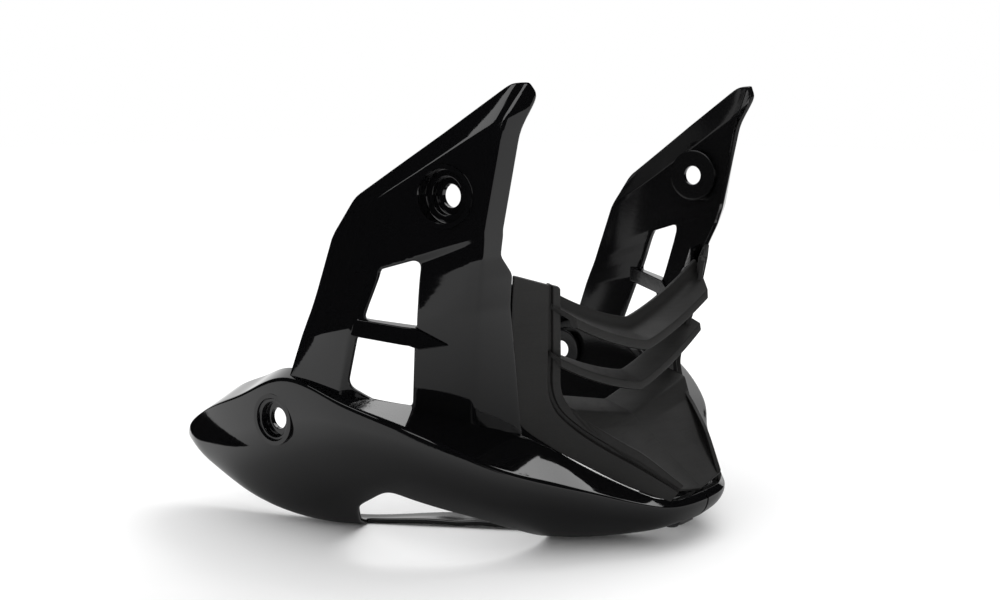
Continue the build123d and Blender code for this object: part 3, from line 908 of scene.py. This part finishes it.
far_axes = np.array((seam_up, -seam_in, seam_out)) * across_middle
joiner_places = [np.array((joiner_x, side * joiner_y, joiner_z)) for side in (1, -1)]
screws = []
for k, place in enumerate(screw_places):
    screws.append(screw(f"screw_{k}", place, seam_axes, seam_shank))
    screws.append(screw(f"screw_far_{k}", place * across_middle, far_axes, seam_shank))
for k, place in enumerate(joiner_places):
    screws.append(screw(f"screw_nose_{k}", place, np.eye(3), nose_shank))
print("screws", [made.name for made in screws])

# %% [markdown]
# Under the nose a little plate joins the two side panels. Its plan is a rounded rectangle, pushed up by its
# thickness, drilled for its two screws and softened at its edges. A drill is a round bar that is longer than
# the wall it goes through, so that no skin is left over the hole.

# %% Nose joiner
joiner_half, joiner_radius, joiner_step, joiner_thickness, joiner_round = (7.0, 8.0), 2.0, 4.0, 2.2, 0.35
joiner_drill, any_direction = (-1, 4), (0.3, 0.5, 0.81)


def round_bar(centre, axis, radius, low, high):
    """A round bar along an axis, between two heights over its centre."""
    axis = np.array(axis, float)
    side = unit(np.cross(axis, any_direction))
    ahead = np.cross(axis, side)
    turns = np.arange(round_steps) * 2 * math.pi / round_steps
    ring = [np.array(centre) + axis * low + radius * (math.cos(t) * side + math.sin(t) * ahead)
            for t in turns]
    return prism(ring, axis * (high - low))


half_x, half_y = joiner_half
joiner_plan = rounded([(joiner_x + i * half_x, j * half_y) for i, j in ((-1, -1), (1, -1), (1, 1), (-1, 1))],
                      [joiner_radius] * 4, joiner_step)
joiner = fuse("nose_joiner_plate",
              [prism([(x, y, joiner_z) for x, y in joiner_plan], (0, 0, joiner_thickness)),
               *[round_bar(place, (0, 0, 1), screw_hole, *joiner_drill) for place in joiner_places]],
              "DIFFERENCE")
joiner = soften_edges(joiner, joiner_round)
print("joiner plate", len(joiner.data.polygons), "faces")

# %% [markdown]
# The flange and the nose are drilled for the screws, and a side panel is joined from its parts: wing, lobe,
# bar, flange and cups. They could stay apart and only overlap, but the real panel is one moulding. A union
# makes one skin of them, with no faces left inside the walls.

# %% Join a side panel
seam_drill, nose_drill = (-4, 6), (-4, 9.2)
drills = [round_bar(place, seam_out, screw_hole, *seam_drill) for place in screw_places]
flange = fuse("flange_drilled", [flange, *drills], "DIFFERENCE")
side_panel = fuse("left_side_panel", [wing, lobe, bar, flange, *cups])
nose_bar = round_bar(joiner_places[0], (0, 0, 1), screw_hole, *nose_drill)
side_panel = fuse("left_side_panel_shell", [side_panel, nose_bar], "DIFFERENCE")
print("side panel", len(side_panel.data.vertices), "points", len(side_panel.data.polygons), "faces")

# %% [markdown]
# Three effects return in several finishes, so each is a node group that is built once. The groups read object
# coordinates, which are metres here, so one scale fits every piece. The first effect is the waviness of a
# moulding: broad sink marks, and the fine orange peel of a polished mould. Real geometry for it would take
# millions of faces, so it is a height for a bump.

# %% Waves of a moulding
sink_scale, peel_scale = 26.0, 420.0


def new_group(name, inputs, outputs):
    tree = bpy.data.node_groups.new(name, "ShaderNodeTree")
    for label, value in inputs:
        socket = tree.interface.new_socket(label, in_out="INPUT", socket_type="NodeSocketFloat")
        socket.default_value = value
    for label in outputs:
        tree.interface.new_socket(label, in_out="OUTPUT", socket_type="NodeSocketFloat")
    return tree, tree.nodes.new("NodeGroupInput"), tree.nodes.new("NodeGroupOutput")


def add_math(tree, operation, first, second):
    node = tree.nodes.new("ShaderNodeMath")
    node.operation = operation
    for socket, value in zip(node.inputs, (first, second)):
        if isinstance(value, (int, float)):
            socket.default_value = value
        else:
            tree.links.new(value, socket)
    return node.outputs[0]


def add_noise(tree, scale, detail, stretch=None):
    place = tree.nodes.new("ShaderNodeTexCoord").outputs["Object"]
    if stretch:
        mapping = tree.nodes.new("ShaderNodeMapping")
        mapping.inputs["Scale"].default_value = stretch
        tree.links.new(place, mapping.inputs["Vector"])
        place = mapping.outputs["Vector"]
    node = tree.nodes.new("ShaderNodeTexNoise")
    node.inputs["Scale"].default_value = scale
    node.inputs["Detail"].default_value = detail
    tree.links.new(place, node.inputs["Vector"])
    return node.outputs[0]


wave, wave_in, wave_out = new_group("moulding_wave", (("Sink depth", 0.1), ("Peel depth", 0.01)), ("Height",))
sink = add_math(wave, "MULTIPLY", add_noise(wave, sink_scale, 1.0), wave_in.outputs["Sink depth"])
peel = add_math(wave, "MULTIPLY", add_noise(wave, peel_scale, 1.0), wave_in.outputs["Peel depth"])
wave.links.new(add_math(wave, "ADD", sink, peel), wave_out.inputs["Height"])
print("group", wave.name, "with", len(wave.nodes), "nodes")

# %% [markdown]
# The second effect is the fine grain that etching leaves in a mould: rounded pits with a finer noise over
# them. A picture of such a grain would need a mapping that hides its seams, while a cell pattern and a noise
# in space have none. The group gives a height, and the same pattern as a shade for the colour.

# %% Fine grain
pit_scale, pit_share, grain_scale = 1500.0, 0.6, 2600.0
grain, grain_in, grain_out = new_group("fine_grain", (("Depth", 0.03),), ("Height", "Shade"))
pits = grain.nodes.new("ShaderNodeTexVoronoi")
pits.inputs["Scale"].default_value = pit_scale
grain.links.new(grain.nodes.new("ShaderNodeTexCoord").outputs["Object"], pits.inputs["Vector"])
fine = add_noise(grain, grain_scale, 2.0)
pattern = add_math(grain, "ADD", add_math(grain, "MULTIPLY", pits.outputs["Distance"], pit_share), fine)
depth = add_math(grain, "MULTIPLY", pattern, grain_in.outputs["Depth"])
grain.links.new(depth, grain_out.inputs["Height"])
grain.links.new(pattern, grain_out.inputs["Shade"])
print("group", grain.name, "with", len(grain.nodes), "nodes")

# %% [markdown]
# The third effect is the haze of handling, which dulls a gloss in soft clouds and faint wipe marks. It could
# be painted on, but a noise raised to a power gives the same few clear patches. It goes to the roughness,
# because a touched surface scatters more light and keeps its colour.

# %% Handling haze
cloud_scale, cloud_power, wipe_scale, wipe_power, wipe_stretch = 34.0, 3.0, 60.0, 4.0, (1.0, 1.0, 14.0)
haze, haze_in, haze_out = new_group("handling_haze", (("Amount", 0.05),), ("Dulling",))
clouds = add_math(haze, "POWER", add_noise(haze, cloud_scale, 4.0), cloud_power)
wipes = add_math(haze, "POWER", add_noise(haze, wipe_scale, 3.0, wipe_stretch), wipe_power)
dulling = add_math(haze, "MULTIPLY", add_math(haze, "ADD", clouds, wipes), haze_in.outputs["Amount"])
haze.links.new(dulling, haze_out.inputs["Dulling"])
print("node groups", [g.name for g in bpy.data.node_groups])

# %% [markdown]
# The side panels are injected in a polished mould and left black: almost no colour of their own, a clear
# gloss and a little waviness. Their hidden side keeps the duller skin of the other half of the mould. The
# centre panel is etched, so it scatters light. The screws are blackened steel, and the joiner is plain black
# plastic. All are one recipe with other values, so one function makes them from a table.

# %% Finishes
# Name, dark tone, pale tone, roughness, haze, depths of sink marks and peel, depth of grain, how much the
# surface mirrors, and how much of it is bare metal.
finish_table = (
    ("gloss_black", (0.0014, 0.0014, 0.0016), (0.0028, 0.0028, 0.0031),
     0.03, 0.10, (0.05, 0.008), 0.0, 0.42, 0.0),
    ("satin_inside", (0.0022, 0.0022, 0.0024), (0.0046, 0.0046, 0.0049),
     0.13, 0.06, (0.10, 0.02), 0.006, 0.26, 0.0),
    ("grained_black", (0.0055, 0.0053, 0.0050), (0.0125, 0.0120, 0.0115),
     0.54, 0.20, (0.08, 0.02), 0.030, 0.36, 0.0),
    ("black_screw", (0.020, 0.020, 0.021), (0.050, 0.050, 0.052),
     0.30, 0.30, (0.02, 0.01), 0.010, 0.5, 0.6),
    ("joiner_black", (0.015, 0.015, 0.015), (0.030, 0.030, 0.030),
     0.36, 0.30, (0.05, 0.02), 0.020, 0.4, 0.0))


def finish(name, dark, pale, rough, haze_amount, wave_depths, grain_depth, mirror, metal):
    made = bpy.data.materials.new(name)
    made.use_nodes = True
    tree = made.node_tree
    shader = tree.nodes["Principled BSDF"]
    shader.inputs["Metallic"].default_value = metal
    shader.inputs["Specular IOR Level"].default_value = mirror
    used = {}
    for group, values in ((wave, wave_depths), (grain, (grain_depth,)), (haze, (haze_amount,))):
        node = tree.nodes.new("ShaderNodeGroup")
        node.node_tree = group
        for socket, value in zip(node.inputs, values):
            socket.default_value = value
        used[group.name] = node.outputs
    tone = tree.nodes.new("ShaderNodeMix")
    tone.data_type = "RGBA"
    tone.inputs["A"].default_value = (*dark, 1)
    tone.inputs["B"].default_value = (*pale, 1)
    bump = tree.nodes.new("ShaderNodeBump")
    bump.inputs["Distance"].default_value = MILLIMETRE
    height = add_math(tree, "ADD", used["moulding_wave"]["Height"], used["fine_grain"]["Height"])
    dulled = add_math(tree, "ADD", used["handling_haze"]["Dulling"], rough)
    for start, end in ((used["fine_grain"]["Shade"], tone.inputs["Factor"]),
                       (tone.outputs["Result"], shader.inputs["Base Color"]),
                       (dulled, shader.inputs["Roughness"]), (height, bump.inputs["Height"]),
                       (bump.outputs["Normal"], shader.inputs["Normal"])):
        tree.links.new(start, end)
    return made


finishes = {row[0]: finish(*row) for row in finish_table}
print("finishes", sorted(finishes))

# %% [markdown]
# Each piece takes the place of its CAD node and rides on the one body. The right side panel could be built
# again, but the real moulds mirror each other, so it is the left one mirrored. Faces of a side panel that
# look inwards get the duller inside finish, and so does the floor of the belly. Edges sharper than a set
# angle stay crisp, and all others are shaded smooth.

# %% Pieces in place
inside_lean, upward, belly_top, crisp_angle = -0.3, 0.5, 0.02, math.radians(35)
mirror_mesh = side_panel.data.copy()
mirror_mesh.transform(Matrix.Diagonal((1, -1, 1, 1)))
mirror_mesh.flip_normals()
right_panel = add_object("right_side_panel_shell", mirror_mesh)
pieces = [(side_panel, "left_side_panel", "gloss_black"), (right_panel, "right_side_panel", "gloss_black"),
          (centre_panel, "centre_panel", "grained_black"), (joiner, "nose_joiner", "joiner_black")]
pieces += [(made, "panel_screws", "black_screw") for made in screws]
for made, node, slot in pieces:
    mesh = made.data
    mesh.shade_smooth()
    mesh.set_sharp_from_angle(angle=crisp_angle)
    mesh.materials.clear()
    mesh.materials.append(finishes[slot])
    side = {"left_side_panel": 1, "right_side_panel": -1}.get(node)
    if side:
        mesh.materials.append(finishes["satin_inside"])
        for face in mesh.polygons:
            on_belly = face.normal.z > upward and face.center.z < belly_top
            face.material_index = int(side * face.normal.y < inside_lean or on_belly)
    shading = made.modifiers.new("even_shading", "WEIGHTED_NORMAL")
    shading.keep_sharp = True
    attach(made, "root")
    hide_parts(node)
print("pieces", [made.name for made, _, _ in pieces])

# %% [markdown]
# The camera stands to the front right of the pan, about as high as the tips of its wings, where the
# photograph was taken from. A 50 mm lens on a 36 mm sensor gives the same perspective, so a near edge grows
# against a far one as it should. The distance and the angles were worked out from edges that both panels
# share.

# %% Camera
camera_place, camera_tilt, camera_turn = (0.519268, -0.675, 0.247477), math.radians(81.8), math.radians(37.5)
camera_data = bpy.data.cameras.new("camera")
camera_data.lens = 50
camera_data.sensor_width = 36
camera = add_object("camera", camera_data)
camera.location = camera_place
camera.rotation_euler = (camera_tilt, 0, camera_turn)
scene.camera = camera
scene.view_settings.view_transform = "Standard"
print("camera stands", round(camera.location.length, 3), "m from the middle of the floor")

# %% [markdown]
# The pan stands on a plain white floor, which takes its shadow. It could be a bent backdrop as in a studio,
# but a flat square that reaches far behind the pan looks the same against a white room.

# %% Floor
floor_reach, floor_white = 6.0, (0.95, 0.95, 0.95)


def stage_paint(name, colour):
    made = bpy.data.materials.new(name)
    made.use_nodes = True
    shader = made.node_tree.nodes["Principled BSDF"]
    shader.inputs["Base Color"].default_value = (*colour, 1)
    shader.inputs["Roughness"].default_value = 1.0
    shader.inputs["Specular IOR Level"].default_value = 0
    return made


def square(reach):
    return ((-reach, -reach), (reach, -reach), (reach, reach), (-reach, reach))


floor = mesh_object("floor", [(x, y, 0) for x, y in square(floor_reach)], [(0, 1, 2, 3)])
floor.data.materials.append(stage_paint("floor_white", floor_white))
print("floor of", 2 * floor_reach, "m")

# %% [markdown]
# Black gloss shows little of its own: what is seen on it is the room. A photographer hangs black flags round
# it, so that the upright faces stay black and the folds stand out. Dimming the room would darken everything,
# so flags are used here too, as boards that only reflections see: a round wall with a roof, and three boards
# on the floor.

# %% Black flags
flag_black = stage_paint("flag_black", (0.004, 0.004, 0.004))
wall_radius, wall_height, wall_start, wall_end, wall_steps, roof_reach = 1.8, 2.2, -185, 85, 24, 1.9


def flag(name, points, faces, paint):
    """A board that only reflections see."""
    board = mesh_object(name, points, faces)
    board.data.materials.append(paint)
    for kind in ("camera", "diffuse", "transmission", "volume_scatter", "shadow"):
        setattr(board, "visible_" + kind, False)


def flag_floor(name, corners, paint, lift):
    """A board on the floor, its corners measured to the camera's right and towards the camera."""
    cosine, sine = math.cos(camera_turn), math.sin(camera_turn)
    points = [(u * cosine + v * sine, u * sine - v * cosine, lift) for u, v in corners]
    flag(name, points, [(0, 1, 2, 3)], paint)


wall_points = []
for turn in np.radians(np.linspace(wall_start, wall_end, wall_steps + 1)):
    x, y = wall_radius * math.cos(turn), wall_radius * math.sin(turn)
    wall_points += [(x, y, 0.0), (x, y, wall_height)]
flag("flag_round", wall_points, [(k, k + 1, k + 3, k + 2) for k in range(0, 2 * wall_steps, 2)], flag_black)
flag("flag_roof", [(x, y, wall_height) for x, y in square(roof_reach)], [(0, 3, 2, 1)], flag_black)
flag_floor("flag_front", ((-3.0, 0.30), (0.12, 0.30), (0.12, 3.0), (-3.0, 3.0)), flag_black, 0.0008)
flag_floor("flag_far", ((-4.0, -0.4), (-0.95, -0.4), (-0.95, 4.0), (-4.0, 4.0)), flag_black, 0.0012)
flag_floor("flag_rear", ((-0.24, 0.05), (-4.24, -2.55), (-4.0, -4.0), (-0.3, -0.2)), flag_black, 0.0010)

# %% [markdown]
# The faces that look down mirror the floor under the pan, which lies in the pan's own shadow on a real table.
# The white floor is too even for that, so one more board for reflections lies on it, with that shadow painted
# into its colour: a fade over the distance from the middle that meets the white of the floor at its rim.

# %% Shaded board under the pan
under_reach = 0.34
# The fade of the painted shadow: distances in metres from the middle, and the tones they give.
shade_range = (("From Min", 0.14), ("From Max", 0.30), ("To Min", 0.33), ("To Max", floor_white[0]))
# Painted shadow: the board is dark near the middle and fades to the floor's white at its rim.
painted_shadow_board = stage_paint("painted_shadow_board", floor_white)
tree = painted_shadow_board.node_tree
distance, fade = tree.nodes.new("ShaderNodeVectorMath"), tree.nodes.new("ShaderNodeMapRange")
distance.operation = "LENGTH"
for label, value in shade_range:
    fade.inputs[label].default_value = value
tree.links.new(tree.nodes.new("ShaderNodeTexCoord").outputs["Object"], distance.inputs[0])
tree.links.new(distance.outputs["Value"], fade.inputs["Value"])
tree.links.new(fade.outputs["Result"], tree.nodes["Principled BSDF"].inputs["Base Color"])
flag_floor("flag_under", square(under_reach), painted_shadow_board, 0.0006)

# %% [markdown]
# A long soft lamp behind and above gives the bright band on the shelf. Two small ones stand in front for
# reflections alone: they draw the folds, and would make the floor too bright if they lit it. Point lamps
# would show as dots in the gloss, so all three are areas, as soft boxes are in a studio.

# %% Lamps
lamp_aim = (0, 0, 0.12)


def soft_lamp(name, place, width, depth, radiance, lights_room=True):
    """A soft lamp of a size in metres, as bright as its radiance makes it look."""
    data = bpy.data.lights.new(name, "AREA")
    data.shape = "RECTANGLE"
    data.size, data.size_y = width, depth
    data.energy = radiance * math.pi * width * depth
    lamp = add_object(name, data)
    lamp.location = place
    lamp.rotation_euler = (Vector(lamp_aim) - Vector(place)).to_track_quat("-Z", "Y").to_euler()
    lamp.visible_camera = False
    lamp.visible_diffuse = lights_room
    return lamp


lamps = [soft_lamp("lamp_behind", (0.0, 0.98, 1.5), 1.5, 0.42, 4.5),
         soft_lamp("lamp_left", (-0.43, -1.15, 0.66), 0.62, 0.4, 3.0, False),
         soft_lamp("lamp_fold", (0.38, -1.23, 0.36), 0.42, 0.4, 3.6, False)]
print("lamps", [(lamp.name, round(lamp.data.energy, 2)) for lamp in lamps])

# %% [markdown]
# The room lights everything else evenly from all sides. To the camera and in reflections it is plain white,
# so that the background is as pale as the floor, and for all other light it has its own level.

# %% Room light
room_light, backdrop_white = 1.06, 1.0
world = bpy.data.worlds.new("room")
scene.world = world
world.use_nodes = True
nodes, links = world.node_tree.nodes, world.node_tree.links
path = nodes.new("ShaderNodeLightPath")
seen = path.outputs["Is Camera Ray"]
for kind in ("Is Glossy Ray", "Is Transmission Ray"):
    seen = add_math(world.node_tree, "MAXIMUM", seen, path.outputs[kind])
level = nodes.new("ShaderNodeMapRange")
level.inputs["To Min"].default_value = room_light
level.inputs["To Max"].default_value = backdrop_white
links.new(seen, level.inputs["Value"])
background = nodes["Background"]
background.inputs["Color"].default_value = (1, 1, 1, 1)
links.new(level.outputs["Result"], background.inputs["Strength"])
print("room light", room_light, "and backdrop", backdrop_white)
